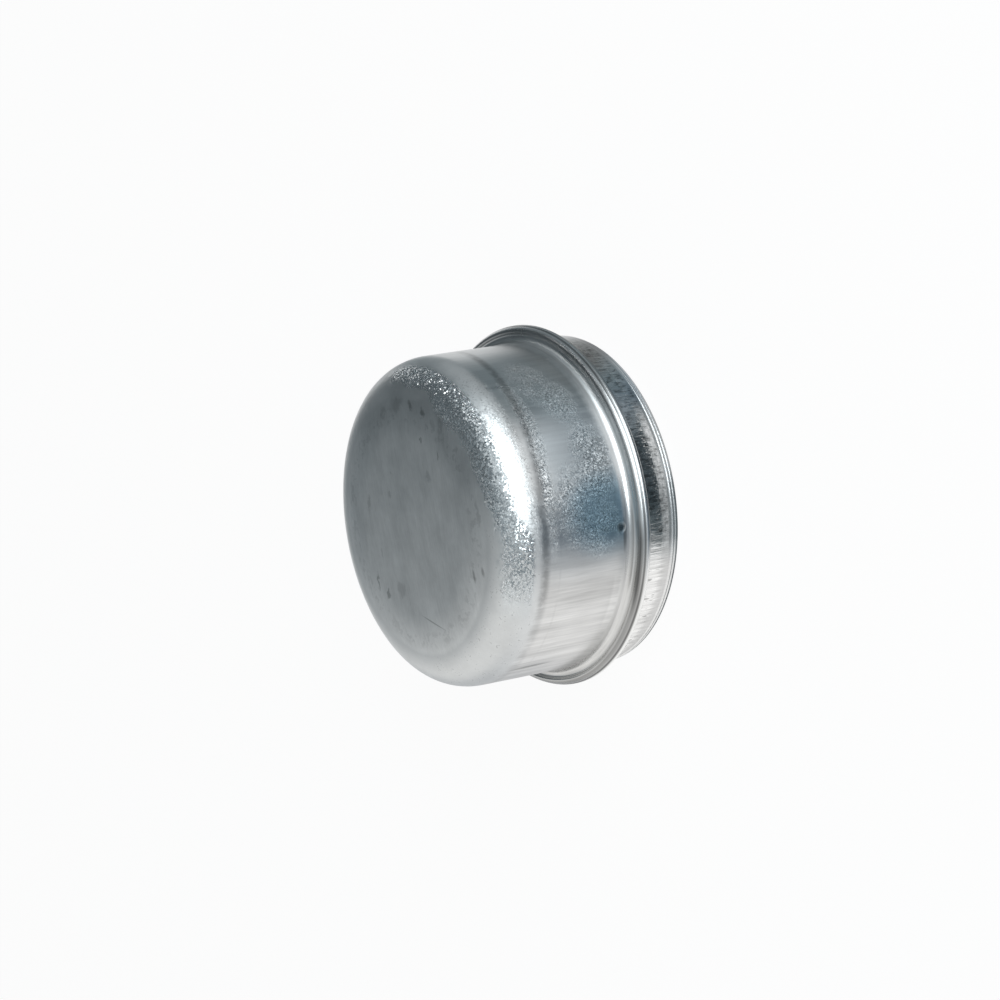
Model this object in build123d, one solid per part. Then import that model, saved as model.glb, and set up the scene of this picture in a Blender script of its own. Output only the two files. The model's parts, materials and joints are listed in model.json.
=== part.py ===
from build123d import *
from math import radians, tan
import os

# Hub grease cap: a cup drawn from one sheet of steel. A bead pinched out of the wall stops it
# against the hub, and the short skirt behind the bead is pressed into the hub's bore.
# Millimetres, +Z along the cap's axis towards the closed end. The origin is the middle of the
# open rim, so the cap stands on its rim at z = 0. Sizes are of the outside, and radii are
# measured from the axis.

# Sheet
SHEET = 0.8  # thickness of the drawn sheet, the same all over
FOLD_GAP = 0.2  # slit left between the two layers of the bead

# Skirt, from the rim up to the bead
LAND_DIAMETER = 50.4  # straight land that grips the bore
LAND_LENGTH = 3.0  # straight land along the axis
LEAD_LENGTH = 3.05  # drawn-in stretch between the rim and the land
LEAD_DROP = 0.1  # how far the rim is drawn in from the land
LIP_RADIUS = 0.4  # rounding of the trimmed rim's outer edge

# Bead
BEAD_PROJECTION = 2.3  # crest of the bead beyond the land
REAR_BEND = 0.6  # hollow bend from the land to the bead's rear face
FRONT_BEND = 1.1  # hollow bend from the bead's front face to the wall

# Cup
CUP_DEPTH = 21.5  # front face of the bead to the middle of the closed end
WALL_STEP = 0.32  # how far the wall stands in from the land where it leaves the bead
WALL_DRAFT = 1.0  # lean of the wall towards the axis, in degrees
CORNER_RADIUS = 6.3  # rounded corner between the wall and the end
CROWN_RISE = 0.45  # middle of the end above the sharp corner of wall and end

# Radii that follow
land_r = LAND_DIAMETER / 2
rim_r = land_r - LEAD_DROP
bead_r = land_r + BEAD_PROJECTION
crest_radius = SHEET + FOLD_GAP / 2
crest_r = bead_r - crest_radius
wall_r = land_r - WALL_STEP

# Heights that follow, from the rim up
bead_rear_z = LEAD_LENGTH + LAND_LENGTH + REAR_BEND
bead_middle_z = bead_rear_z + crest_radius
bead_front_z = bead_middle_z + crest_radius
end_z = bead_front_z + CUP_DEPTH
corner_z = end_z - CROWN_RISE
corner_r = wall_r - tan(radians(WALL_DRAFT)) * (corner_z - bead_front_z)


def sheet_line(depth):
    """One face of the sheet as (radius, height), this deep under its outside, from end to rim."""
    crown = TangentArc((0, end_z - depth), (corner_r - depth, corner_z - depth), tangent=(1, 0))
    wall = Line(crown @ 1, (wall_r - depth, bead_front_z - depth))
    front = Line(wall @ 1, (crest_r, bead_front_z - depth))
    crest = ThreePointArc(
        front @ 1, (bead_r - depth, bead_middle_z), (crest_r, bead_rear_z + depth)
    )
    rear = Line(crest @ 1, (land_r - depth, bead_rear_z + depth))
    land = Line(rear @ 1, (land_r - depth, LEAD_LENGTH))
    lead = TangentArc(land @ 1, (rim_r - depth, 0), tangent=(0, -1))
    line = Wire([crown, wall, front, crest, rear, land, lead])
    bends = (
        (crown @ 1, CORNER_RADIUS - depth),
        (wall @ 1, FRONT_BEND + depth),
        (rear @ 1, REAR_BEND + depth),
    )
    for corner, radius in bends:
        line = line.fillet_2d(radius, [line.vertices().sort_by_distance(corner)[0]])
    return line


def sheet_section():
    """Half section of the drawn sheet, cut square at the rim with its outer edge rounded."""
    outside = sheet_line(0)
    inside = sheet_line(SHEET)
    axis_edge = Line(outside @ 0, inside @ 0)
    rim_edge = Line(outside @ 1, inside @ 1)
    section = make_face([outside, rim_edge, inside, axis_edge])
    lip = section.vertices().sort_by_distance(outside @ 1)[0]
    return fillet(lip, LIP_RADIUS)


cap_shell = revolve(Plane.XZ * sheet_section(), axis=Axis.Z)

os.makedirs("parts", exist_ok=True)
export_step(cap_shell, "parts/cap_shell.step")
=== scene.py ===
import json
import math

import bmesh
import bpy
import numpy as np
from bpy.props import FloatProperty, FloatVectorProperty, IntProperty, PointerProperty
from mathutils import Matrix, Vector


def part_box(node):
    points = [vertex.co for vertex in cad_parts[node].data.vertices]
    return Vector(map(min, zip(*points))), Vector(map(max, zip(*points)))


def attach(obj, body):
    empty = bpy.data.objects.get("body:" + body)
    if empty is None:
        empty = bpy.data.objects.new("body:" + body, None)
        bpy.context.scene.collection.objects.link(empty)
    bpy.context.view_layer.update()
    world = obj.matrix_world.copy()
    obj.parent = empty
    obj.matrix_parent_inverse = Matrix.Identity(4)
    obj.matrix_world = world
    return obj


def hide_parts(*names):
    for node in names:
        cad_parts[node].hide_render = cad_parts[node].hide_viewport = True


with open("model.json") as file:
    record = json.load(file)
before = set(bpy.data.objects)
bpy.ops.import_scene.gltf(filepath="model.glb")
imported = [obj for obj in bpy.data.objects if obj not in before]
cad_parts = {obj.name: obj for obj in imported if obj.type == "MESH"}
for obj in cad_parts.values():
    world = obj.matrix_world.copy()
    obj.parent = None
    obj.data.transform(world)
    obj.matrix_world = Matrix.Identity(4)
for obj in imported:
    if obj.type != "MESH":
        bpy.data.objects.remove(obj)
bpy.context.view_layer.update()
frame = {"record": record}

bl_info = {
    "name": "Hub grease cap",
    "version": (1, 0, 0),
    "blender": (4, 5, 0),
    "location": "View3D > Sidebar > Grease cap",
    "description": "Drawn sheet-steel cap with a folded stop bead, and the studio it stands in",
    "category": "Object",
}

MM = 0.001
QUARTER = math.pi / 2
NODE = "cap_shell"
SLOT = "zinc_steel"

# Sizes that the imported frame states
node_low, node_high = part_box(NODE)
spigot = next(m for m in frame["record"]["mounts"] if m["name"] == "press_spigot")
seat = next(m for m in frame["record"]["mounts"] if m["name"] == "seat_face")
LAND_RADIUS = spigot["dims"]["r_mm"] * MM
LAND_LENGTH = spigot["dims"]["length_mm"] * MM
LAND_MIDDLE = spigot["pos_m"][2]
LAND_FOOT = LAND_MIDDLE - LAND_LENGTH / 2
SEAT_HEIGHT = seat["pos_m"][2]
REAR_BEND = SEAT_HEIGHT - LAND_MIDDLE - LAND_LENGTH / 2
BEAD_RADIUS = min(node_high.x - node_low.x, node_high.y - node_low.y) / 2
END_HEIGHT = node_high.z


def length(name, description, default):
    """A length in metres that a user may change."""
    return FloatProperty(
        name=name, description=description, default=default, min=0.0, precision=5,
        subtype="DISTANCE", unit="LENGTH",
    )


def angle(name, description, degrees):
    """An angle that a user may change, given in degrees."""
    return FloatProperty(
        name=name, description=description, default=math.radians(degrees),
        subtype="ANGLE", unit="ROTATION",
    )


def share(name, description, default):
    """A number from nothing to all."""
    return FloatProperty(
        name=name, description=description, default=default, min=0.0, max=1.0, subtype="FACTOR",
    )


def gain(name, description, default):
    """How many times as bright something is."""
    return FloatProperty(name=name, description=description, default=default, min=0.0)


def colour(name, description, default):
    """A colour in linear light."""
    return FloatVectorProperty(
        name=name, description=description, default=default, size=3, min=0.0, max=1.0,
        subtype="COLOR",
    )


class CapSizes(bpy.types.PropertyGroup):
    """Sizes of the drawn sheet, all of its outside."""

    sheet: length("Sheet", "Thickness of the drawn sheet", 0.8 * MM)
    fold_gap: length("Fold gap", "Slit between the two layers of the bead", 0.2 * MM)
    lead_drop: length("Lead drop", "How far the rim is drawn in from the land", 0.1 * MM)
    lip_radius: length("Lip", "Rounding of the rim's outer edge", 0.4 * MM)
    front_bend: length("Front bend", "Hollow bend between the bead and the wall", 1.1 * MM)
    root_drop: length("Root drop", "How far the bead's front dips towards the wall", 0.3 * MM)
    flare_length: length("Flare", "Stretch in which the wall flares into that bend", 1.7 * MM)
    flare_tilt: angle("Flare tilt", "Lean of the wall where that bend begins", 12.0)
    rim_roll: length("Rim roll", "Rise of the two rolled lines beside the rim", 0.085 * MM)
    wall_step: length("Wall step", "How far the wall stands in from the land", 0.32 * MM)
    wall_draft: angle("Wall draft", "Lean of the wall towards the axis", 1.0)
    corner_radius: length("Corner", "Rounded corner between wall and end", 6.3 * MM)
    crown_rise: length("Crown", "Middle of the end above its sharp corner", 0.45 * MM)
    shoulder: length("Shoulder", "How far the end dips towards its corner", 0.42 * MM)
    row_step: length("Row step", "Spacing of the mesh along the sheet", 0.36 * MM)
    turns: IntProperty(name="Turns", description="Faces round the cap", default=320, min=32)


class CapFinish(bpy.types.PropertyGroup):
    """Colours and gloss of the zinc."""

    zinc: colour("Zinc", "Colour of the clean zinc", (0.7, 0.71, 0.71))
    # Painted reflection tints: these two colours stand in for reflected light, not for the zinc's
    # own colour.
    painted_blue_reflection: colour("Blue zinc", "Colour where the passivation is thick", (0.47, 0.64, 0.74))
    painted_warm_reflection: colour("Warm zinc", "Colour where the passivation is thin", (0.708, 0.704, 0.694))
    land_shine: gain("Land shine", "How much brighter the burnished land is", 1.22)
    lead_shine: gain("Lead shine", "How much brighter the drawn-in lead is", 1.2)
    # Painted highlight on the rim's lip, the crest's rear edge and the wall's foot.
    edge_painted_highlight: gain("Edge shine", "How much brighter worn edges are", 1.25)
    glint_shine: gain("Glint shine", "How much brighter the wall's small glints are", 1.5)
    scuff_shine: gain("Scuff shine", "How much brighter the scuffs on the skirt are", 1.7)
    rough_end: share("End roughness", "Roughness of the flat end", 0.34)
    rough_corner: share("Corner roughness", "Roughness of the stretched corner", 0.4)
    rough_grain: share("Grain roughness", "Roughness of that corner's grains", 0.19)
    rough_spark: share("Spark roughness", "Roughness of the crisp grains at one side", 0.11)
    rough_wall: share("Wall roughness", "Roughness of the drawn wall", 0.32)
    rough_bead: share("Bead roughness", "Roughness of the folded bead", 0.28)
    rough_bend: share("Bend roughness", "Roughness of the hollow bend at one side", 0.38)
    rough_land: share("Land roughness", "Roughness of the burnished land", 0.17)
    rough_lead: share("Lead roughness", "Roughness of the skirt near the rim", 0.3)
    grain_tilt: angle("Grain tilt", "How far the stretched corner's grains lean", 12.0)


class CapStage(bpy.types.PropertyGroup):
    """Camera, lamp, floor and surround."""

    elevation: angle("Elevation", "Camera above the floor", 33.138)
    roll: angle("Roll", "Camera turned about its own axis", -99.696)
    distance: length("Distance", "Camera to the point it looks at", 333.477 * MM)
    aim: FloatVectorProperty(
        name="Aim", description="Point that the camera looks at", subtype="TRANSLATION",
        unit="LENGTH", default=(1.8125 * MM, 2.8 * MM, 11.839 * MM), precision=5,
    )
    lens: FloatProperty(name="Lens", description="Focal length on a 36 mm sensor", default=79.2)
    floor_radius: length("Floor", "Radius of the pale floor", 4.0)
    shadow_share: share("Shadow", "How much of the floor's white the lamp gives", 0.07)
    key_tone: gain("Key", "Brightness of the soft lamp", 3.4)
    lamp_away: length("Lamp distance", "Soft lamp to the middle of the floor", 0.55)
    lamp_wide: length("Lamp width", "Width of the soft lamp", 0.77)
    lamp_tall: length("Lamp height", "Height of the soft lamp", 0.46)
    lamp_turn: angle("Lamp turn", "Soft lamp round the cap from the camera's side", 25.0)
    lamp_rise: angle("Lamp rise", "Soft lamp above the floor", 16.5)
    room_grey: colour("Room grey", "Most of the room", (0.29, 0.335, 0.36))
    room_dark: colour("Room dark", "Dark side of the room", (0.094, 0.112, 0.123))
    room_white: colour("Room white", "Bounce board", (0.94, 0.94, 0.93))
    room_glow: colour("Room glow", "Glow over the lamp", (0.84, 0.89, 0.91))


# Profile of the sheet

# Where the end's dip begins and how fast it grows, and the same for its loss in the corner
SHOULDER_GROWS, SHOULDER_LOST = (13.2 * MM, 5.7 * MM), (19.2 * MM, 5.2 * MM)
# Rolled lines beside the rim
ROLL_HEIGHTS, ROLL_REACH = (1.03 * MM, 0.5 * MM), 0.3 * MM
# Crest of the bead: its two radii as shares of its thickness, and where the flat begins and ends
CREST_FRONT, CREST_FLAT = 0.39, 1.03
FLAT_START, FLAT_END = math.radians(45), math.radians(15)
# Rows to a plain step in bends, over the rolled lines and round the lip
BEND_ROWS, ROLL_ROWS, LIP_ROWS = 3, 5, 4
# Plain steps to a row along the wall and on the inside
WALL_STEPS, INSIDE_STEPS = 4, 2
# Points nearer than this share of a step are one
SAME_POINT = 100


def arc(centre, radius, start, end, step):
    """Points round a centre from one angle to another, in (radius, height)."""
    count = max(2, math.ceil(abs(end - start) * radius / step))
    turns = np.linspace(start, end, count + 1)
    return np.c_[centre[0] + radius * np.cos(turns), centre[1] + radius * np.sin(turns)]


def run(start, end, step):
    """Points along a straight run, in (radius, height)."""
    count = max(1, math.ceil(math.dist(start, end) / step))
    return np.linspace(start, end, count + 1)


def shoulder_shape(radius):
    """Share of the end's dip at a radius: it grows towards the corner and is lost in its bend."""
    start, growth = SHOULDER_GROWS
    grow = np.clip((radius - start) / growth, 0, 1) ** 2
    start, loss = SHOULDER_LOST
    lose = np.clip((radius - start) / loss, 0, 1)
    return grow * (1 - lose * lose * (3 - 2 * lose))


def rolled_line(height, middle, reach):
    """Share of a rolled line's rise at a height: all at its middle and nothing past its reach."""
    return 0.5 + 0.5 * np.cos(math.pi * np.clip((height - middle) / reach, -1, 1))


def flare(start, control, end, step):
    """Points along a smooth bend that leaves one straight run and meets another."""
    count = max(2, math.ceil(math.dist(start, end) / step))
    way = np.linspace(0, 1, count + 1)[:, None]
    return (1 - way) ** 2 * start + 2 * way * (1 - way) * control + way**2 * end


def crest_radius(sizes):
    """Half of the bead's thickness."""
    return sizes.sheet + sizes.fold_gap / 2


def bead_front(sizes):
    """Height of the bead's front face."""
    return SEAT_HEIGHT + crest_radius(sizes) + crest_radius(sizes)


def wall_ways(sizes):
    """Unit directions up the wall and in from it, in (radius, height)."""
    draft = sizes.wall_draft
    up = np.array([-math.sin(draft), math.cos(draft)])
    inward = np.array([-math.cos(draft), -math.sin(draft)])
    return up, inward


def wall_foot(sizes, depth):
    """Where the wall would reach the bead's front, in (radius, height)."""
    root = depth if depth else sizes.root_drop
    return np.array([LAND_RADIUS - sizes.wall_step - depth, bead_front(sizes) - root])


def end_and_corner(sizes, depth, step):
    """The crowned end with its dip, and the rounded corner, from the axis to the wall."""
    up, inward = wall_ways(sizes)
    foot, draft = wall_foot(sizes, depth), sizes.wall_draft
    sharp_z = END_HEIGHT - sizes.crown_rise
    leant = math.tan(draft) * (sharp_z - bead_front(sizes))
    sharp_r = LAND_RADIUS - sizes.wall_step - leant - depth
    crown_radius = (sharp_r**2 + sizes.crown_rise**2) / (2 * sizes.crown_rise)
    crown_centre = np.array([0.0, END_HEIGHT - depth - crown_radius])
    corner_radius = sizes.corner_radius - depth
    base = foot + inward * corner_radius - crown_centre
    reach = crown_radius - corner_radius
    slide = -base @ up + math.sqrt((base @ up) ** 2 - base @ base + reach**2)
    corner_centre = foot + inward * corner_radius + up * slide
    lean = math.atan2(*(corner_centre - crown_centre)[::-1])
    crown = arc(crown_centre, crown_radius, QUARTER, lean, step)
    corner = arc(corner_centre, corner_radius, lean, draft, step)
    line = np.vstack([crown, corner])
    line[:, 1] -= sizes.shoulder * shoulder_shape(line[:, 0] + depth)
    return line


def flare_and_bend(sizes, depth, step):
    """The wall's flare, and the hollow bend that takes it out to the bead's front."""
    up, inward = wall_ways(sizes)
    draft = sizes.wall_draft
    tilt = draft if depth else sizes.flare_tilt
    radius = sizes.front_bend + depth
    rise = radius * (1 + inward[1]) / up[1]
    centre = wall_foot(sizes, depth) - inward * radius + up * rise
    half = sizes.flare_length / 2
    spread = half * math.sin(tilt - draft) - radius * (1 - math.cos(tilt - draft))
    centre[0] += spread / math.cos(draft)
    bend = arc(centre, radius, math.pi + tilt, 3 * QUARTER, step)
    knee = bend[0] + half * np.array([-math.sin(tilt), math.cos(tilt)])
    return flare(knee + up * half, knee, bend[0], step), bend


def flattened_crest(thickness, step):
    """The bead's outer edge, pressed flatter where it leans forward, from front to rear."""
    front_radius, flat_radius = CREST_FRONT * thickness, CREST_FLAT * thickness
    tall = front_radius * (1 - math.sin(FLAT_START))
    tall += flat_radius * (math.sin(FLAT_START) - math.sin(FLAT_END))
    rear_radius = (thickness - tall) / (1 + math.sin(FLAT_END))
    rear_centre = np.array([BEAD_RADIUS - rear_radius, SEAT_HEIGHT + rear_radius])
    way = np.array([math.cos(FLAT_END), math.sin(FLAT_END)])
    flat_centre = rear_centre - way * (flat_radius - rear_radius)
    way = np.array([math.cos(FLAT_START), math.sin(FLAT_START)])
    front_centre = flat_centre + way * (flat_radius - front_radius)
    return np.vstack([
        arc(front_centre, front_radius, QUARTER, FLAT_START, step),
        arc(flat_centre, flat_radius, FLAT_START, FLAT_END, step),
        arc(rear_centre, rear_radius, FLAT_END, -QUARTER, step),
    ])


def bead_crest(sizes, depth, step):
    """The bead's crest, flattened on the outside and half round on the inside."""
    radius = crest_radius(sizes)
    if not depth:
        return flattened_crest(2 * radius, step)
    centre = (BEAD_RADIUS - radius, SEAT_HEIGHT + radius)
    return arc(centre, radius - depth, QUARTER, -QUARTER, step)


def drawn_lead(sizes, depth, step):
    """The skirt's lead from the land to the rim, with the two rolled lines on its outside."""
    radius = (LAND_FOOT**2 + sizes.lead_drop**2) / (2 * sizes.lead_drop)
    centre = (LAND_RADIUS - depth - radius, LAND_FOOT)
    fine = step if depth else step / ROLL_ROWS
    lead = arc(centre, radius, 0, -math.asin(LAND_FOOT / radius), fine)
    if not depth:
        rolls = sum(rolled_line(lead[:, 1], middle, ROLL_REACH) for middle in ROLL_HEIGHTS)
        lead[:, 0] += sizes.rim_roll * rolls
    return lead


def sheet_line(sizes, depth, step):
    """One face of the sheet, this deep under its outside, from the end's middle to the rim."""
    fine = step / BEND_ROWS
    end = end_and_corner(sizes, depth, step)
    flared, bend = flare_and_bend(sizes, depth, fine)
    crest = bead_crest(sizes, depth, fine)
    rear_centre = (LAND_RADIUS + REAR_BEND, SEAT_HEIGHT - REAR_BEND)
    rear = arc(rear_centre, REAR_BEND + depth, QUARTER, 2 * QUARTER, fine)
    lead = drawn_lead(sizes, depth, step)
    line = np.vstack([
        end, run(end[-1], flared[0], step * WALL_STEPS), flared, bend,
        run(bend[-1], crest[0], step), crest, run(crest[-1], rear[0], step), rear,
        run(rear[-1], lead[0], step), lead,
    ])
    keep = np.r_[True, np.hypot(*np.diff(line, axis=0).T) > step / SAME_POINT]
    return line[keep]


def sheet_section(sizes):
    """The sheet's closed half section: its outside down to the rim and its inside back up."""
    outside = sheet_line(sizes, 0.0, sizes.row_step)
    inside = sheet_line(sizes, sizes.sheet, sizes.row_step * INSIDE_STEPS)[::-1]
    lip = sizes.lip_radius
    above = outside[outside[:, 1] > lip]
    edge = np.interp(lip, outside[::-1, 1], outside[::-1, 0])
    round_lip = arc((edge - lip, lip), lip, 0, -QUARTER, sizes.row_step / LIP_ROWS)
    return np.vstack([above, round_lip, inside])


def lathe(name, section, turns):
    """A closed mesh of the section turned about +Z, with single points on the axis."""
    around = np.linspace(0, 2 * math.pi, turns, endpoint=False)
    rings = section[1:-1]
    points = np.empty((len(rings), turns, 3))
    points[..., 0] = rings[:, :1] * np.cos(around)
    points[..., 1] = rings[:, :1] * np.sin(around)
    points[..., 2] = rings[:, 1:]
    top = (0, 0, section[0, 1])
    under = (0, 0, section[-1, 1])
    verts = np.vstack([points.reshape(-1, 3), top, under])
    ring = np.arange(turns)
    after = np.roll(ring, -1)
    faces = []
    for row in range(len(rings) - 1):
        low, high = row * turns, (row + 1) * turns
        faces += np.c_[low + ring, high + ring, high + after, low + after].tolist()
    tip, last = len(rings) * turns, (len(rings) - 1) * turns
    faces += np.c_[np.full(turns, tip), ring, after].tolist()
    faces += np.c_[np.full(turns, tip + 1), last + after, last + ring].tolist()
    mesh = bpy.data.meshes.new(name)
    mesh.from_pydata(verts.tolist(), [], faces)
    mesh.shade_smooth()
    return mesh


# Nodes


def add(tree, kind, inputs=None, **settings):
    """A new node of this kind, with its settings made and its sockets set or linked."""
    made = tree.nodes.new(kind)
    for name, value in settings.items():
        setattr(made, name, value)
    for socket, value in (inputs or {}).items():
        if isinstance(value, bpy.types.NodeSocket):
            tree.links.new(value, made.inputs[socket])
        else:
            made.inputs[socket].default_value = value
    return made


def sums(tree, operation, first, second=0.0):
    """One step of arithmetic on two numbers."""
    return add(tree, "ShaderNodeMath", {0: first, 1: second}, operation=operation).outputs[0]


def vectors(tree, operation, *values):
    """One step of arithmetic on vectors: a node's outputs."""
    inputs = dict(enumerate(values))
    return add(tree, "ShaderNodeVectorMath", inputs, operation=operation).outputs


def scaled(tree, vector, size):
    """A vector or colour made this many times as large."""
    inputs = {0: vector, "Scale": size}
    return add(tree, "ShaderNodeVectorMath", inputs, operation="SCALE").outputs[0]


def plane(tree, across, along):
    """A point on a flat plane."""
    return add(tree, "ShaderNodeCombineXYZ", {"X": across, "Y": along}).outputs[0]


def fade(tree, value, start, end, low=0.0, high=1.0):
    """A smooth change from low to high as the value goes from start to end."""
    inputs = {"Value": value, "From Min": start, "From Max": end, "To Min": low, "To Max": high}
    made = add(tree, "ShaderNodeMapRange", inputs, interpolation_type="SMOOTHSTEP")
    return made.outputs["Result"]


def band(tree, value, start, full, past, end):
    """One between full and past, and nothing before start and after end."""
    return both(tree, fade(tree, value, start, full), fade(tree, value, end, past))


def blend(tree, factor, first, second):
    """A mix of two colours."""
    made = add(tree, "ShaderNodeMix", {"Factor": factor, 6: first, 7: second}, data_type="RGBA")
    return made.outputs[2]


def mix(tree, mask, first, second):
    """The second number where the mask is one, and the first where it is nothing."""
    return add(tree, "ShaderNodeMix", {"Factor": mask, 2: first, 3: second}).outputs[0]


def chain(tree, operation, values):
    """These numbers taken together, one after the other."""
    joined = values[0]
    for value in values[1:]:
        joined = sums(tree, operation, joined, value)
    return joined


def both(tree, *masks):
    """Where every one of these masks is on."""
    return chain(tree, "MULTIPLY", masks)


def either(tree, *masks):
    """Where any one of these masks is on."""
    return chain(tree, "MAXIMUM", masks)


def plus(tree, *values):
    """These numbers added up."""
    return chain(tree, "ADD", values)


def dim(tree, tone, mask, depth):
    """A tone made darker by this share where the mask is on."""
    return sums(tree, "MULTIPLY", tone, mix(tree, mask, 1.0, 1 - depth))


def grain(tree, place, scale, detail=2.0, rough=0.5, stretch=(1, 1, 1)):
    """A cloudy pattern about nothing, with this many swells to a millimetre."""
    place = vectors(tree, "MULTIPLY", place, stretch)[0]
    inputs = {"Vector": place, "Scale": scale, "Detail": detail, "Roughness": rough}
    cloud = add(tree, "ShaderNodeTexNoise", inputs).outputs["Fac"]
    return sums(tree, "SUBTRACT", cloud, 0.5)


def facets(tree, place, density):
    """Small flat grains, this many to a millimetre, each tipped its own way."""
    cells = add(tree, "ShaderNodeTexVoronoi", {"Vector": place, "Scale": density}).outputs
    tip = vectors(tree, "SUBTRACT", cells["Color"], (0.5, 0.5, 0.5))[0]
    arm = vectors(tree, "SUBTRACT", place, cells["Position"])[0]
    return vectors(tree, "DOT_PRODUCT", tip, arm)["Value"]


def mark(tree, sheet, across, along, wide, tall, lean=0.0):
    """A soft spot of this half width and half height on a plane in millimetres."""
    inputs = {
        "Vector": sheet, "Location": (across, along, 0.0),
        "Rotation": (0.0, 0.0, math.radians(lean)), "Scale": (wide, tall, 1000.0),
    }
    local = add(tree, "ShaderNodeMapping", inputs, vector_type="TEXTURE").outputs[0]
    return fade(tree, vectors(tree, "LENGTH", local)["Value"], 1.0, 0.3)


def marks(tree, sheet, places):
    """All of these soft spots on one plane, each as mark takes it."""
    return either(tree, *(mark(tree, sheet, *place) for place in places))


def turn_from_camera(tree, split):
    """How far a point is turned about +Z, from -Y towards +X, in radians."""
    facing = sums(tree, "MULTIPLY", split["Y"], -1.0)
    return sums(tree, "ARCTAN2", split["X"], facing)


# Zinc

# Bands by height over the rim or by radius, in millimetres: start, full, past and end
BARS_BAND, SCUFF_BAND = (1.5, 3.0, 6.2, 6.5), (1.4, 1.9, 6.2, 6.5)
LAND_BAND, BEAD_BAND = (2.9, 3.2, 6.2, 6.5), (6.1, 6.4, 9.3, 9.9)
FACE_BAND, FACE_REACH = (8.05, 8.3, 8.5, 8.75), (25.5, 26.0, 26.9, 27.2)
ROOT_BAND, ROOT_REACH = (8.3, 8.4, 9.7, 10.0), (25.05, 25.35, 26.2, 26.5)
BEND_BAND, FOOT_BAND = (8.2, 8.4, 9.9, 10.6), (9.4, 9.8, 10.6, 11.2)
WALL_BAND, POCK_BAND = (9.4, 10.0, 23.4, 24.6), (23.2, 23.8, 26.4, 27.4)
RING_REACH = (15.0, 16.2, 17.2, 18.6)
# Edges by height or radius, in millimetres: start and full
RIM_DARK_EDGE, LIP_EDGE, LEAD_EDGE, DULL_EDGE = (0.36, 0.18), (1.5, 1.2), (3.2, 2.9), (3.7, 2.2)
CREST_EDGE, BEND_EDGE = (26.6, 26.9), (26.5, 26.2)
CREST_REAR, CREST_DULL, CREST_FORE = (7.6, 7.45), (7.4, 7.55), (7.9, 8.1)
CORNER_FOOT, CORNER_TOP = (23.2, 24.6), (18.6, 20.6)
END_EDGE, END_TOP, RING_TOP, WARM_TINT_EDGE = (19.6, 18.4), (28.4, 29.3), (28.4, 29.0), (24.6, 22.0)
# Sectors in degrees from the camera's side: middle, and how far either way they reach and are full
CRISP_SIDE, WIDE_SIDE, GRAIN_SIDE = (68, 36, 22), (38, 30, 12), (28, 72, 52)
GRAIN_INNER, GRAIN_LOWER, GRAIN_DIM = (8, 5, 26), (49, 61, 49), (-21, 15, 7)
POCK_SIDE, SCUFF_SIDE, LOW_SIDE = (20, 42, 26), (24, 48, 34), (-105, 89, 75)
BEND_SIDE, FACE_SIDE, ROOT_SIDE = (52, 40, 24), (90, 132, 120), (-22, 16, 6)
BEND_SHADE_SIDE, FOOT_SHEEN_SIDE, FLECK_SIDE = (-18, 18, 10), (-38, 15, 5), (-50, 62, 40)
CREST_SIDE, CREST_GAP = (-98, 90, 80), (-98, 52, 66)
DULL_SIDE, CREST_SHADE_SIDE = (-106, 84, 70), (36, 17, 9)
LINE_SIDE, LINE_BACK = (20, 75, 40), (-30, 120, 80)
SHADE_TURNS = (-65, -45, -30, -20)
# Heights of fine lines in millimetres, and how far the first falls with each degree
DIE_LINE, DIE_FALL, SECOND_LINE, SEAM_LINE = 23.1, 0.045, 20.6, 7.75
# Radii and heights in millimetres between which the corner's grains begin
INNER_RADII, LOWER_HEIGHTS = (20.2, 21.8), (24.4, 26.5)
# Marks in millimetres: across, along, half width, half height and lean
STRONG_RUBS = (
    (12.3, -6.7, 0.7, 0.35, 12), (9.4, -10.7, 0.85, 0.35, 20), (17.6, -4.9, 1.0, 0.7, 30),
    (16.2, -7.9, 1.1, 0.7, 30), (-7.3, 12.0, 1.9, 0.45, -18), (-9.3, 9.6, 1.3, 0.55, -35),
)
STRONG_LINES = ((-8.1, -14.5, 1.3, 0.35), (-7.8, -16.6, 1.0, 0.4), (-14.2, -1.8, 3.9, 0.16, 66))
FAINT_RUBS = (
    (17.4, 3.2, 1.4, 1.1), (18.0, -1.0, 1.6, 2.4), (13.6, -12.2, 1.5, 0.6, 25),
    (9.8, -15.0, 0.8, 0.7), (6.8, -7.2, 1.3, 0.5), (8.4, 3.1, 0.5, 0.5), (5.4, 4.1, 0.5, 0.5),
    (4.7, 10.8, 2.0, 0.5, -18), (-2.9, 9.4, 1.4, 0.5), (-8.9, 5.5, 1.8, 1.5),
    (0.5, -18.0, 2.6, 0.6),
)
WALL_PATCHES = (
    (16.0, 14.5, 6.0, 4.0), (5.0, 13.0, 9.0, 4.5), (-4.0, 14.0, 6.0, 5.0),
    (-1.0, 17.5, 8.0, 4.5), (3.0, 21.7, 14.0, 1.5), (20.5, 16.5, 7.0, 4.2),
)
THIN_PATCH = (14.0, 21.0, 12.0, 1.9)
# Patches of painted blue reflection tint on the wall.
BLUE_TINT_PATCH, BLUE_TINT_HAZE = (-2.2, 12.5, 8.0, 9.0), (9.0, 16.0, 14.0, 9.0)
# A ding, darkened partly with painted shade, and a painted shade line at the wall's foot.
DING, FOOT_SHADE_MARK = (-5.0, 10.1, 1.0, 0.8), (-6.2, 9.6, 3.2, 0.35)
CREASE = (-29.4, 20.0, 0.6, 4.6, 4)


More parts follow.
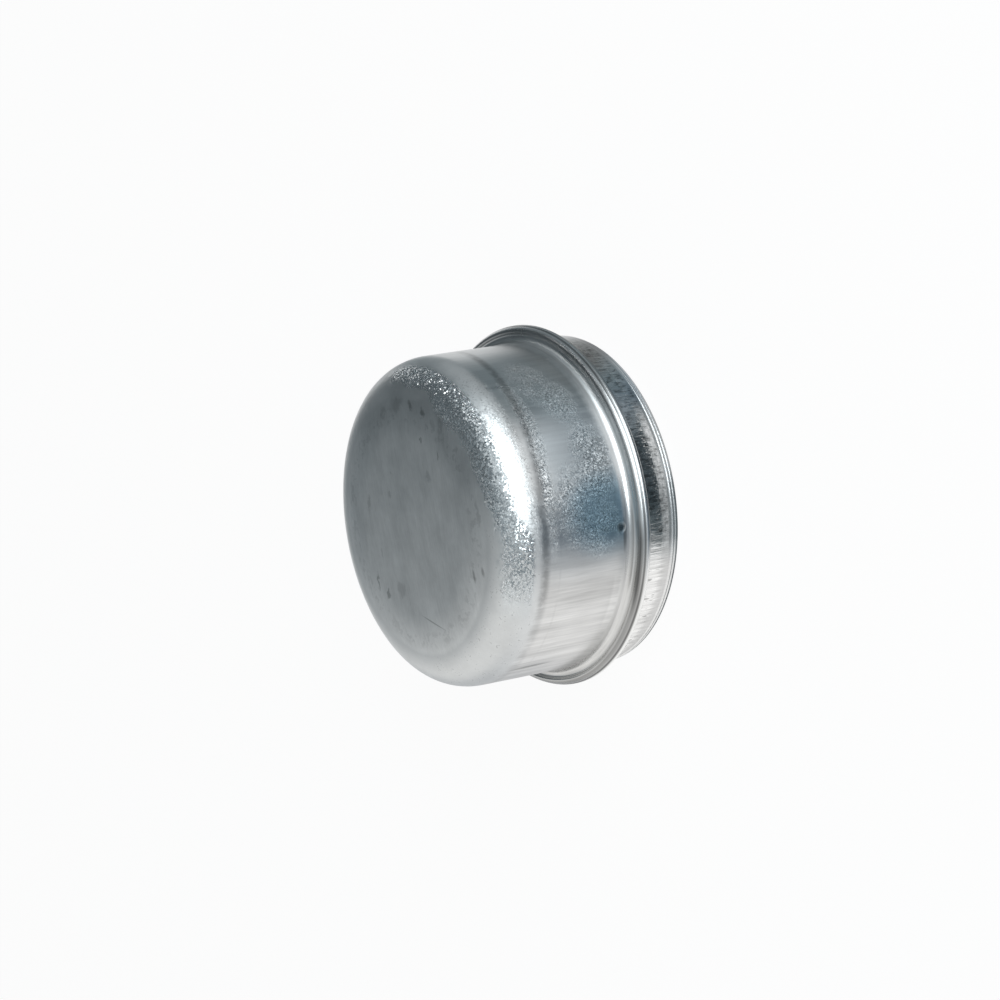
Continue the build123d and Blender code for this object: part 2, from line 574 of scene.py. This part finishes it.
class Places:
    """Where a point of the cap lies, in millimetres and degrees."""

    def __init__(self, tree):
        place = add(tree, "ShaderNodeTexCoord").outputs["Object"]
        self.spot = scaled(tree, place, 1 / MM)
        split = add(tree, "ShaderNodeSeparateXYZ", {0: self.spot}).outputs
        self.height = split["Z"]
        self.flat = plane(tree, split["X"], split["Y"])
        self.radius = vectors(tree, "LENGTH", self.flat)["Value"]
        stir = add(tree, "ShaderNodeTexNoise", {"Vector": self.spot, "Scale": 0.9, "Detail": 2.0})
        stir = vectors(tree, "SUBTRACT", stir.outputs["Color"], (0.5, 0.5, 0.5))[0]
        self.worn = vectors(tree, "MULTIPLY_ADD", stir, (2.2, 2.2, 0.0), self.flat)[0]
        self.angle = turn_from_camera(tree, split)
        self.turn = sums(tree, "DEGREES", self.angle)
        round_wall = sums(tree, "MULTIPLY", self.angle, LAND_RADIUS / MM)
        self.wall = plane(tree, round_wall, self.height)


def sector(tree, at, middle, reach, full, low=0.0, high=1.0):
    """High near this turn, either way round the cap, and low from its reach on, in degrees."""
    ahead = plus(tree, at.angle, -math.radians(middle))
    apart = sums(tree, "DEGREES", sums(tree, "ARCCOSINE", sums(tree, "COSINE", ahead)))
    return fade(tree, apart, reach, full, low, high)


def off_line(tree, height, line):
    """How far a height is from a line's, up or down."""
    return sums(tree, "ABSOLUTE", plus(tree, height, -line))


class Zones:
    """Masks for the stretches of the cap, from its end down to the rim."""

    def __init__(self, tree, at):
        ragged = plus(tree, at.radius, both(tree, grain(tree, at.spot, 0.5), 3.0))
        self.end = both(tree, fade(tree, ragged, *END_EDGE), fade(tree, at.height, *END_TOP))
        self.corner = both(
            tree, fade(tree, at.height, *CORNER_FOOT), fade(tree, ragged, *CORNER_TOP)
        )
        self.crisp = sector(tree, at, *CRISP_SIDE)
        self.grain = self.stretched(tree, at, ragged)
        self.pocked = both(tree, band(tree, at.height, *POCK_BAND), sector(tree, at, *POCK_SIDE))
        self.wall = band(tree, at.height, *WALL_BAND)
        self.bend = both(
            tree, band(tree, at.height, *BEND_BAND), fade(tree, at.radius, *BEND_EDGE),
            sector(tree, at, *BEND_SIDE),
        )
        self.bead = band(tree, at.height, *BEAD_BAND)
        self.crest = both(tree, self.bead, fade(tree, at.radius, *CREST_EDGE))
        self.land = band(tree, at.height, *LAND_BAND)
        self.barred = band(tree, at.height, *BARS_BAND)
        self.scuffed = both(tree, band(tree, at.height, *SCUFF_BAND), sector(tree, at, *SCUFF_SIDE))
        self.lead = fade(tree, at.height, *LEAD_EDGE)
        self.lip = fade(tree, at.height, *LIP_EDGE)
        self.low_side = sector(tree, at, *LOW_SIDE)

    def stretched(self, tree, at, ragged):
        """The part of the corner where stretching has opened the grain."""
        inner = plus(
            tree, sector(tree, at, *GRAIN_INNER, *INNER_RADII), both(tree, self.crisp, -0.8),
            both(tree, sector(tree, at, *WIDE_SIDE), -1.9),
        )
        lower = sector(tree, at, *GRAIN_LOWER, *LOWER_HEIGHTS)
        return both(
            tree, fade(tree, sums(tree, "SUBTRACT", at.height, lower), 0.0, 0.9),
            fade(tree, sums(tree, "SUBTRACT", ragged, inner), -1.0, 1.0),
            sector(tree, at, *GRAIN_SIDE, 0.08, 1.0),
        )


class Patterns:
    """Cloudy and grainy patterns of the zinc, most of them about nothing."""

    def __init__(self, tree, at):
        self.peel = facets(tree, at.spot, 4.4)
        self.fleck = facets(tree, at.spot, 6.2)
        self.cloud = grain(tree, at.spot, 0.16, detail=3.0)
        self.mottle = grain(tree, at.spot, 0.8, detail=3.0, rough=0.6)
        self.rolled = grain(tree, at.spot, 0.4, detail=4.0, rough=0.6, stretch=(0.3, 1, 1))
        self.fibre = grain(tree, at.spot, 4.5, stretch=(0.1, 1, 1))
        self.drawn = grain(tree, at.spot, 2.2, detail=3.0, rough=0.6, stretch=(1, 1, 0.05))
        self.swell = grain(tree, at.spot, 0.45, stretch=(1, 1, 0.1))
        pocks = grain(tree, at.spot, 3.6, detail=1.0)
        self.pits = fade(tree, pocks, 0.06, 0.2)
        self.glints = fade(tree, pocks, -0.1, -0.22)
        self.bars = grain(tree, at.spot, 1.9, detail=3.0, rough=0.6, stretch=(1, 1, 0.04))
        self.dents = grain(tree, at.spot, 2.4, rough=0.6, stretch=(1, 1, 0.3))
        broken = grain(tree, at.spot, 0.9, stretch=(1, 1, 0.7))
        self.nicks = fade(tree, plus(tree, self.bars, both(tree, broken, 0.7)), 0.1, 0.2)
        self.patchy = fade(tree, grain(tree, at.spot, 0.45, detail=3.0), -0.3, 0.02)
        self.scores = grain(tree, at.spot, 6.0, stretch=(1, 1, 0.06))
        self.rings = grain(tree, at.spot, 5.0, stretch=(0.03, 0.03, 1))
        self.turned = grain(tree, at.spot, 2.2, stretch=(0.05, 0.05, 1))


class WearAndPaintedLight:
    """Masks for the marks of drawing, folding and handling, and for painted shade, painted
    highlights and painted reflection tints.
    """

    def __init__(self, tree, at, on, made):
        self.mark_end(tree, at, on, made)
        self.mark_wall(tree, at, on, made)
        self.draw_lines(tree, at, on, made)
        self.shade_bead_and_foot(tree, at)
        self.wear_crest(tree, at, on)
        self.paint_reflection_tints(tree, at, on)
        below = plus(tree, at.height, both(tree, made.bars, 3.0))
        self.lead_dull = both(tree, on.low_side, fade(tree, below, *DULL_EDGE))
        # The rim's last fraction of a millimetre is darker.
        self.rim_dark_edge = fade(tree, at.height, *RIM_DARK_EDGE)

    def mark_end(self, tree, at, on, made):
        """Flecks, rubs and a hairline on the end, and flecks on its rounded corner."""
        strong = either(
            tree, marks(tree, at.worn, STRONG_RUBS), marks(tree, at.flat, STRONG_LINES)
        )
        self.strong = both(tree, strong, on.end)
        self.faint = both(tree, marks(tree, at.worn, FAINT_RUBS), on.end)
        self.end_ring = both(
            tree, band(tree, at.radius, *RING_REACH), fade(tree, at.height, *RING_TOP),
            fade(tree, made.mottle, 0.0, 0.12),
        )
        self.low_flecks = both(
            tree, on.corner, made.pits, fade(tree, made.mottle, 0.02, 0.1),
            sector(tree, at, *FLECK_SIDE),
        )
        self.low_grain = both(tree, on.grain, sector(tree, at, *GRAIN_DIM))

    def mark_wall(self, tree, at, on, made):
        """Speckled patches, a ding and a crease on the wall; the ding's darkening is partly painted
        shade, with a painted shade line at the wall's foot and painted shade low on one side.
        """
        patches = either(
            tree, marks(tree, at.wall, WALL_PATCHES),
            both(tree, mark(tree, at.wall, *THIN_PATCH), 0.9),
        )
        self.speckled = both(tree, patches, on.wall, made.patchy)
        self.ding_and_shade = mark(tree, at.wall, *DING)
        self.foot_shade_line = mark(tree, at.wall, *FOOT_SHADE_MARK)
        self.crease = mark(tree, at.wall, *CREASE)
        self.low_shade = both(tree, on.wall, band(tree, at.turn, *SHADE_TURNS))

    def draw_lines(self, tree, at, on, made):
        """Lines that the die leaves round the wall, and the seam on the bead's crest: real grooves,
        darkened partly with painted shade.
        """
        fall = sums(tree, "MAXIMUM", both(tree, at.turn, DIE_FALL), 0.0)
        from_die = off_line(tree, plus(tree, at.height, fall), DIE_LINE)
        along = either(
            tree, sector(tree, at, *LINE_SIDE), both(tree, sector(tree, at, *LINE_BACK), 0.35)
        )
        uneven = fade(tree, made.mottle, -0.16, 0.08, 0.45, 1.0)
        self.die_line_and_shade = both(tree, fade(tree, from_die, 1.1, 0.1), along, uneven)
        self.second_line = fade(tree, off_line(tree, at.height, SECOND_LINE), 0.3, 0.05)
        from_seam = off_line(tree, at.height, SEAM_LINE)
        self.seam = both(tree, on.crest, fade(tree, from_seam, 0.26, 0.0))

    def shade_bead_and_foot(self, tree, at):
        """Painted shade on the bead's front face and in its bend, and a painted sheen on the wall's
        foot.
        """
        face = both(tree, band(tree, at.height, *FACE_BAND), band(tree, at.radius, *FACE_REACH))
        self.face_painted_shade = both(tree, face, sector(tree, at, *FACE_SIDE, 0.35, 1.0))
        self.root_painted_shade = both(tree, face, sector(tree, at, *ROOT_SIDE))
        self.bend_painted_shade = both(
            tree, band(tree, at.height, *ROOT_BAND), band(tree, at.radius, *ROOT_REACH),
            sector(tree, at, *BEND_SHADE_SIDE),
        )
        self.foot_painted_sheen = both(
            tree, band(tree, at.height, *FOOT_BAND), sector(tree, at, *FOOT_SHEEN_SIDE), 0.6
        )

    def wear_crest(self, tree, at, on):
        """Grime and dull stretches on the bead's crest, painted shade over its highlight on one
        side, and a painted highlight on its rear edge.
        """
        self.crest_grime = both(
            tree, on.crest, sector(tree, at, *CREST_SIDE),
            sector(tree, at, *CREST_GAP, 0.45, 1.0), fade(tree, at.height, *CREST_FORE),
        )
        self.crest_dull = both(
            tree, on.crest, sector(tree, at, *DULL_SIDE), fade(tree, at.height, *CREST_DULL)
        )
        self.crest_rear_highlight = both(tree, on.crest, fade(tree, at.height, *CREST_REAR))
        self.crest_painted_shade = both(tree, on.crest, sector(tree, at, *CREST_SHADE_SIDE))

    def paint_reflection_tints(self, tree, at, on):
        """Painted reflection tints: blue on patches of the wall and on the corner's grain, and warm
        low on the side towards the bounce board.
        """
        haze = both(tree, mark(tree, at.wall, *BLUE_TINT_HAZE), 0.25)
        blue_reflection_tint = either(tree, mark(tree, at.wall, *BLUE_TINT_PATCH), haze)
        self.blue_reflection_tint = either(tree, both(tree, blue_reflection_tint, on.wall), both(tree, on.grain, 0.14))
        self.warm_reflection_tint = both(tree, on.low_side, fade(tree, at.height, *WARM_TINT_EDGE))


def clean_tone(tree, on, made):
    """How bright the zinc is before any marks: about one."""
    return plus(
        tree, 0.97, both(tree, made.cloud, 0.2),
        both(tree, made.rolled, on.end, 0.3), both(tree, made.fibre, on.end, 0.2),
        both(tree, made.mottle, either(tree, on.end, on.corner), 0.18),
        both(tree, made.drawn, on.wall, mix(tree, on.low_side, 0.26, 0.6)),
        both(tree, made.swell, on.wall, mix(tree, on.low_side, 0.3, 0.65)),
        both(tree, made.scores, on.lead, 0.3), both(tree, made.bars, on.barred, 0.9),
        both(tree, made.rings, on.bead, 0.4),
    )


def dark_marks(tree, on, made, worn):
    """What is darker than the clean zinc, and by what share."""
    return (
        (worn.strong, 0.4), (worn.faint, 0.18),
        (both(tree, worn.speckled, made.pits), 0.38), (both(tree, on.pocked, made.pits), 0.3),
        # The ding's darkening is partly painted shade, and the line at the wall's foot is painted
        # shade.
        (worn.ding_and_shade, 0.7), (worn.foot_shade_line, 0.5), (worn.crease, 0.4),
        (worn.end_ring, 0.16), (worn.low_flecks, 0.3),
        # The die line and the crest's seam are real grooves, darkened here partly with painted
        # shade.
        (worn.die_line_and_shade, 0.42), (worn.low_grain, 0.1), (worn.seam, 0.68),
        (both(tree, worn.second_line, fade(tree, made.swell, -0.1, 0.15)), 0.06),
        (both(tree, made.nicks, on.land), 0.5), (worn.lead_dull, 0.24),
        (both(tree, on.scuffed, fade(tree, made.dents, 0.0, -0.16)), 0.5),
        (worn.low_shade, 0.09),
        # Painted shade on the bead's front face and in its bend.
        (worn.face_painted_shade, 0.4), (worn.root_painted_shade, 0.3), (worn.bend_painted_shade, 0.42),
        # The last of these is painted shade over the crest's highlight on one side.
        (worn.crest_grime, 0.5), (worn.crest_dull, 0.28), (worn.crest_painted_shade, 0.28),
        # The blue reflection tint on the wall is darkened too, as painted shade.
        (both(tree, worn.blue_reflection_tint, on.wall), 0.16), (worn.rim_dark_edge, 0.55),
    )


def bright_marks(tree, finish, on, made, worn):
    """What is brighter than the clean zinc, and how many times."""
    return (
        (on.land, finish.land_shine), (on.lead, finish.lead_shine),
        # Painted highlights on the lip and the crest's rear edge, and a painted sheen on the wall's
        # foot.
        (on.lip, finish.edge_painted_highlight), (worn.crest_rear_highlight, finish.edge_painted_highlight),
        (worn.foot_painted_sheen, finish.edge_painted_highlight),
        (both(tree, worn.speckled, made.glints), finish.glint_shine),
        (both(tree, on.scuffed, fade(tree, made.dents, 0.04, 0.2)), finish.scuff_shine),
    )


def zinc_tone(tree, finish, on, made, worn):
    """How bright the zinc is, with its dark and bright marks, some of them painted shade, painted
    highlights and painted reflection tints.
    """
    tone = clean_tone(tree, on, made)
    for mask, depth in dark_marks(tree, on, made, worn):
        tone = dim(tree, tone, mask, depth)
    for mask, shine in bright_marks(tree, finish, on, made, worn):
        tone = both(tree, tone, mix(tree, mask, 1.0, shine))
    return tone


def zinc_gloss(tree, finish, on, made):
    """How rough the zinc is."""
    grains = mix(tree, on.crisp, finish.rough_grain, finish.rough_spark)
    rough = finish.rough_wall
    for mask, value in (
        (on.end, finish.rough_end), (on.corner, finish.rough_corner), (on.grain, grains),
        (on.bead, finish.rough_bead), (on.bend, finish.rough_bend),
        (on.land, finish.rough_land), (on.lead, finish.rough_lead),
    ):
        rough = mix(tree, mask, rough, value)
    return plus(tree, rough, both(tree, made.cloud, 0.12), both(tree, made.drawn, on.wall, 0.14))


def zinc_relief(tree, finish, on, made, worn):
    """How far the surface rises and falls, in millimetres."""
    tilt = both(tree, mix(tree, on.crisp, 0.82, 1.32), 2 * math.tan(finish.grain_tilt))
    return plus(
        tree, both(tree, made.peel, on.grain, tilt), both(tree, made.fleck, worn.speckled, 0.42),
        both(tree, made.peel, on.pocked, 0.13), both(tree, made.drawn, on.wall, 0.006),
        both(tree, made.swell, on.wall, 0.04), both(tree, worn.ding_and_shade, -0.1),
        both(tree, worn.crease, -0.06), both(tree, worn.die_line_and_shade, -0.012),
        both(tree, worn.seam, -0.05), both(tree, made.nicks, on.land, -0.02),
        both(tree, made.bars, on.barred, 0.13), both(tree, made.dents, on.barred, 0.06),
        both(tree, made.dents, on.scuffed, 0.05), both(tree, made.scores, on.lead, 0.02),
        both(tree, made.rings, on.bead, 0.012), both(tree, made.turned, on.lead, 0.03),
    )


def zinc_steel(finish):
    """Bright zinc on drawn steel: matt end, grainy corner, drawn wall, crisp bead, scored skirt."""
    material = bpy.data.materials.new(SLOT)
    material.use_nodes = True
    tree = material.node_tree
    shader = tree.nodes["Principled BSDF"]
    shader.inputs["Metallic"].default_value = 1.0
    at = Places(tree)
    on = Zones(tree, at)
    made = Patterns(tree, at)
    worn = WearAndPaintedLight(tree, at, on, made)
    # Painted reflection tints: warm low on one side, blue on the wall and the grain.
    hue = blend(tree, worn.warm_reflection_tint, (*finish.zinc, 1), (*finish.painted_warm_reflection, 1))
    hue = blend(tree, worn.blue_reflection_tint, hue, (*finish.painted_blue_reflection, 1))
    base = scaled(tree, hue, zinc_tone(tree, finish, on, made, worn))
    tree.links.new(base, shader.inputs["Base Color"])
    tree.links.new(zinc_gloss(tree, finish, on, made), shader.inputs["Roughness"])
    relief = zinc_relief(tree, finish, on, made, worn)
    bump = add(tree, "ShaderNodeBump", {"Strength": 1.0, "Distance": MM, "Height": relief})
    tree.links.new(bump.outputs["Normal"], shader.inputs["Normal"])
    return material


class GREASECAP_OT_shell(bpy.types.Operator):
    """Turn the drawn sheet's section into the cap and give it its zinc"""

    bl_idname = "grease_cap.shell"
    bl_label = "Drawn shell"

    def execute(self, context):
        sizes = context.scene.cap_sizes
        mesh = lathe("drawn_shell", sheet_section(sizes), sizes.turns)
        mesh.materials.append(zinc_steel(context.scene.cap_finish))
        shell = bpy.data.objects.new("drawn_shell", mesh)
        context.scene.collection.objects.link(shell)
        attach(shell, "root")
        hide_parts(NODE)
        return {"FINISHED"}


# Studio

WHITE, FLOOR_PALE = (1, 1, 1, 1), (0.9, 0.9, 0.9, 1)
LAMP_COLOUR = (0.93, 1.0, 1.03)
FLOOR_HEIGHT, CARD_HEIGHT, CARD_TUCK = -0.02 * MM, 0.05 * MM, 0.3 * MM
DOME_SIZE, DOME_ROUNDS = 1.5, 4
SENSOR, NEAREST = 36.0, 0.01
# Parts of the room in degrees: turn, rise, and the half angles of the full part and of its edge
DARK_SIDE, BOARD_SIDE, GLOW_SIDE = (138, 32, 12, 58), (-103, 9, 45, 78), (31, 46, 8, 40)
SPARKS = ((84, 36, 1.5, 3.5), (100, 34, 1.5, 3.5), (116, 29, 1.5, 3.5))
SPARK_TONE = (5.0, 5.0, 5.0, 1)
# Greys of the card, a painted reflection that only the metal shows: its lamp's side and its far
# side, near the cap, and beside the land
CARD_COOL, CARD_GREY = (0.06, 0.1, 0.14, 1), (0.135, 0.172, 0.19, 1)
CARD_NEAR, CARD_NEAR_FAR = (0.085, 0.106, 0.116, 1), (0.164, 0.171, 0.172, 1)
CARD_PALE, CARD_DEEP = (0.2, 0.235, 0.26, 1), (0.035, 0.048, 0.056, 1)


def bearing(turn, rise):
    """Unit direction at this turn from -Y towards +X and this rise above the floor, in degrees."""
    a, e = math.radians(turn), math.radians(rise)
    return Vector((math.sin(a) * math.cos(e), -math.cos(a) * math.cos(e), math.sin(e)))


def cone(tree, ways, turn, rise, inner, outer):
    """One inside a cone about a bearing and nothing outside it, between two half angles."""
    dot = vectors(tree, "DOT_PRODUCT", ways, bearing(turn, rise))["Value"]
    return fade(tree, dot, math.cos(math.radians(outer)), math.cos(math.radians(inner)))


def show(name, data):
    """A new object in the scene."""
    made = bpy.data.objects.new(name, data)
    bpy.context.scene.collection.objects.link(made)
    return made


def white_backdrop():
    """Plain white behind everything."""
    world = bpy.data.worlds.new("white_backdrop")
    world.use_nodes = True
    world.node_tree.nodes["Background"].inputs["Color"].default_value = WHITE
    world.cycles.sampling_method = "NONE"
    return world


def bare_material(name):
    """A new material with no nodes, which sends no light of its own at the cap."""
    material = bpy.data.materials.new(name)
    material.use_nodes = True
    material.node_tree.nodes.clear()
    material.cycles.emission_sampling = "NONE"
    return material


def glowing(tree, tone):
    """A plain glow of this colour."""
    return add(tree, "ShaderNodeEmission", {"Color": tone, "Strength": 1.0}).outputs[0]


def layered(tree, factor, first, second):
    """A mix of two shaders."""
    return add(tree, "ShaderNodeMixShader", {0: factor, 1: first, 2: second}).outputs[0]


def surround(stage):
    """The room round the cap: grey, dark on one side and white on that of the bounce board."""
    material = bare_material("surround")
    tree = material.node_tree
    place = add(tree, "ShaderNodeTexCoord").outputs["Object"]
    ways = vectors(tree, "NORMALIZE", place)[0]
    tone = (*stage.room_grey, 1)
    for side, other in (
        (DARK_SIDE, stage.room_dark), (BOARD_SIDE, stage.room_white), (GLOW_SIDE, stage.room_glow),
    ):
        tone = blend(tree, cone(tree, ways, *side), tone, (*other, 1))
    for spark in SPARKS:
        tone = blend(tree, cone(tree, ways, *spark), tone, SPARK_TONE)
    add(tree, "ShaderNodeOutputMaterial", {"Surface": glowing(tree, tone)})
    return material


def dome(name, radius):
    """A ball round the whole studio, which the camera looks through."""
    mesh = bpy.data.meshes.new(name)
    shape = bmesh.new()
    bmesh.ops.create_icosphere(shape, subdivisions=DOME_ROUNDS, radius=radius)
    shape.to_mesh(mesh)
    shape.free()
    made = show(name, mesh)
    made.visible_camera = False
    return made


def pale_floor(stage):
    """A white floor with a faint shadow, white in the metal's reflections and clear from below."""
    material = bare_material("pale_floor")
    tree = material.node_tree
    path = add(tree, "ShaderNodeLightPath").outputs
    seen = either(
        tree, path["Is Camera Ray"], path["Is Glossy Ray"], path["Is Transmission Ray"]
    )
    seen = both(tree, seen, 1 - stage.shadow_share)
    lit = add(tree, "ShaderNodeBsdfDiffuse", {"Color": FLOOR_PALE}).outputs[0]
    mixed = layered(tree, seen, lit, glowing(tree, WHITE))
    under = add(tree, "ShaderNodeNewGeometry").outputs["Backfacing"]
    clear = add(tree, "ShaderNodeBsdfTransparent").outputs[0]
    mixed = layered(tree, under, mixed, clear)
    add(tree, "ShaderNodeOutputMaterial", {"Surface": mixed})
    return material


def disc(name, hole, radius, height, count=128):
    """A flat ring or disc at this height."""
    turns = np.linspace(0, 2 * math.pi, count, endpoint=False)
    outer = [(radius * math.cos(t), radius * math.sin(t), height) for t in turns]
    if hole:
        inner = [(hole * math.cos(t), hole * math.sin(t), height) for t in turns]
        faces = [
            (i, count + i, count + (i + 1) % count, (i + 1) % count) for i in range(count)
        ]
    else:
        inner, faces = [], [tuple(range(count))]
    mesh = bpy.data.meshes.new(name)
    mesh.from_pydata(inner + outer, [], faces)
    made = show(name, mesh)
    return made


def painted_light_pools(tree, turn, reach):
    """Painted pools of the lamp's light: where the paper is left out, so that the metal reflects
    the white floor.
    """
    far = both(tree, fade(tree, reach, 34, 68), band(tree, turn, -8, 10, 36, 56))
    near = both(
        tree, band(tree, reach, 26.4, 27.7, 28.0, 28.8), band(tree, turn, -30, -20, 20, 34),
        fade(tree, turn, -6, 8, 0.5, 1.0),
    )
    by_rim = both(tree, fade(tree, reach, 26.0, 25.6), band(tree, turn, -2, 8, 45, 60), 0.35)
    thin = both(tree, fade(tree, turn, 130, 105), fade(tree, reach, 62, 85), 0.28)
    return either(tree, far, near, by_rim, thin)


def card_cover(tree, turn, reach):
    """How much of the floor the paper covers, with a painted contact shadow round the rim and
    painted shade on the far side.
    """
    start = fade(tree, reach, 34, 46, -31.0, -50.0)
    side = fade(tree, turn, start, -17.0)
    lean = plus(
        tree, fade(tree, reach, 26.5, 31, -22.0, 4.0), fade(tree, reach, 45, 80, 0.0, 39.0)
    )
    rear = fade(tree, sums(tree, "SUBTRACT", turn, lean), 118, 84)
    laid = both(tree, side, rear, sums(tree, "SUBTRACT", 1.0, painted_light_pools(tree, turn, reach)))
    # Painted contact shadow round the rim and painted shade on the far side, shown only in the
    # metal's reflections.
    painted_contact_shadow = both(
        tree, fade(tree, reach, 25.95, 25.5), fade(tree, turn, 4, -12, 0.0, 0.9),
        fade(tree, turn, -165, -115),
    )
    painted_shade_away = both(tree, band(tree, turn, -180, -150, -125, -80), 0.4)
    return either(tree, laid, painted_contact_shadow, painted_shade_away)


def card_shade(tree, turn, reach):
    """How grey the painted reflection is."""
    near = fade(tree, reach, 42, 36)
    by_land = band(tree, reach, 28.3, 29.2, 34.5, 37)
    shade = blend(tree, fade(tree, turn, 30, 50), CARD_COOL, CARD_GREY)
    for mask, grey in (
        (both(tree, near, fade(tree, turn, 42, 24)), CARD_NEAR),
        (both(tree, near, fade(tree, turn, 46, 62)), CARD_NEAR_FAR),
        (both(tree, by_land, band(tree, turn, 22, 29, 34, 44)), CARD_PALE),
        (both(tree, by_land, band(tree, turn, -14, -6, 19, 27)), CARD_DEEP),
    ):
        shade = blend(tree, mask, shade, grey)
    return shade


def reflection_only_card():
    """A painted reflection: grey paper by the cap that only the metal's reflections show, laid by
    turn in degrees and reach in millimetres.
    """
    material = bare_material("reflection_only_card")
    tree = material.node_tree
    place = add(tree, "ShaderNodeTexCoord").outputs["Object"]
    split = add(tree, "ShaderNodeSeparateXYZ", {0: place}).outputs
    turn = sums(tree, "DEGREES", turn_from_camera(tree, split))
    reach = both(tree, vectors(tree, "LENGTH", place)["Value"], 1 / MM)
    paper = glowing(tree, card_shade(tree, turn, reach))
    clear = add(tree, "ShaderNodeBsdfTransparent").outputs[0]
    mixed = layered(tree, card_cover(tree, turn, reach), clear, paper)
    add(tree, "ShaderNodeOutputMaterial", {"Surface": mixed})
    return material


def key_lamp(stage):
    """A wide soft lamp beside the camera, low over the floor."""
    data = bpy.data.lights.new("key_lamp", "AREA")
    data.shape = "ELLIPSE"
    data.size, data.size_y = stage.lamp_wide, stage.lamp_tall
    data.color = LAMP_COLOUR
    area = math.pi / 4 * stage.lamp_wide * stage.lamp_tall
    data.energy = stage.key_tone * math.pi * area
    lamp = show("key_lamp", data)
    towards = bearing(math.degrees(stage.lamp_turn), math.degrees(stage.lamp_rise))
    lamp.location = towards * stage.lamp_away
    lamp.rotation_euler = towards.to_track_quat("Z", "Y").to_euler()


def camera(stage):
    """The camera at the photograph's angle, rolled so that the cap lies as it does there."""
    back = Vector((0, -math.cos(stage.elevation), math.sin(stage.elevation)))
    across = Vector((1, 0, 0))
    upright = back.cross(across)
    right = across * math.cos(stage.roll) + upright * math.sin(stage.roll)
    up = back.cross(right)
    data = bpy.data.cameras.new("camera")
    data.sensor_width = SENSOR
    data.lens = stage.lens
    data.clip_start = NEAREST
    made = show("camera", data)
    place = Vector(stage.aim) + back * stage.distance
    made.matrix_world = Matrix.Translation(place) @ Matrix((right, up, back)).transposed().to_4x4()
    bpy.context.scene.camera = made


class GREASECAP_OT_stage(bpy.types.Operator):
    """Lay the pale floor, light the cap and set the camera"""

    bl_idname = "grease_cap.stage"
    bl_label = "Studio"

    def execute(self, context):
        stage = context.scene.cap_stage
        floor = disc("floor", 0.0, stage.floor_radius, FLOOR_HEIGHT)
        floor.data.materials.append(pale_floor(stage))
        # The card is a painted reflection: the camera, diffuse light and shadows pass through it,
        # and only the metal's reflections show it.
        card = disc("reflection_only_card", LAND_RADIUS - CARD_TUCK, stage.floor_radius, CARD_HEIGHT)
        card.data.materials.append(reflection_only_card())
        card.visible_camera = False
        card.visible_diffuse = False
        card.visible_shadow = False
        key_lamp(stage)
        camera(stage)
        room = dome("surround", DOME_SIZE * stage.floor_radius)
        room.data.materials.append(surround(stage))
        context.scene.world = white_backdrop()
        context.scene.view_settings.view_transform = "Standard"
        return {"FINISHED"}


class GREASECAP_PT_build(bpy.types.Panel):
    """Sizes, finish and stage of the cap"""

    bl_label = "Grease cap"
    bl_space_type = "VIEW_3D"
    bl_region_type = "UI"
    bl_category = "Grease cap"

    def draw(self, context):
        for operator, values in OPERATORS:
            box = self.layout.box()
            for name in values:
                group = getattr(context.scene, name)
                for key in group.__annotations__:
                    box.prop(group, key)
            box.operator(operator.bl_idname)


OPERATORS = (
    (GREASECAP_OT_shell, ("cap_sizes", "cap_finish")),
    (GREASECAP_OT_stage, ("cap_stage",)),
)
GROUPS = {"cap_sizes": CapSizes, "cap_finish": CapFinish, "cap_stage": CapStage}
CLASSES = (*GROUPS.values(), GREASECAP_OT_shell, GREASECAP_OT_stage, GREASECAP_PT_build)


def register():
    for kind in CLASSES:
        bpy.utils.register_class(kind)
    for name, group in GROUPS.items():
        setattr(bpy.types.Scene, name, PointerProperty(type=group))


def unregister():
    for name in GROUPS:
        delattr(bpy.types.Scene, name)
    for kind in reversed(CLASSES):
        bpy.utils.unregister_class(kind)


def main():
    register()
    bpy.ops.grease_cap.shell()
    bpy.ops.grease_cap.stage()


if __name__ == "__main__":
    main()
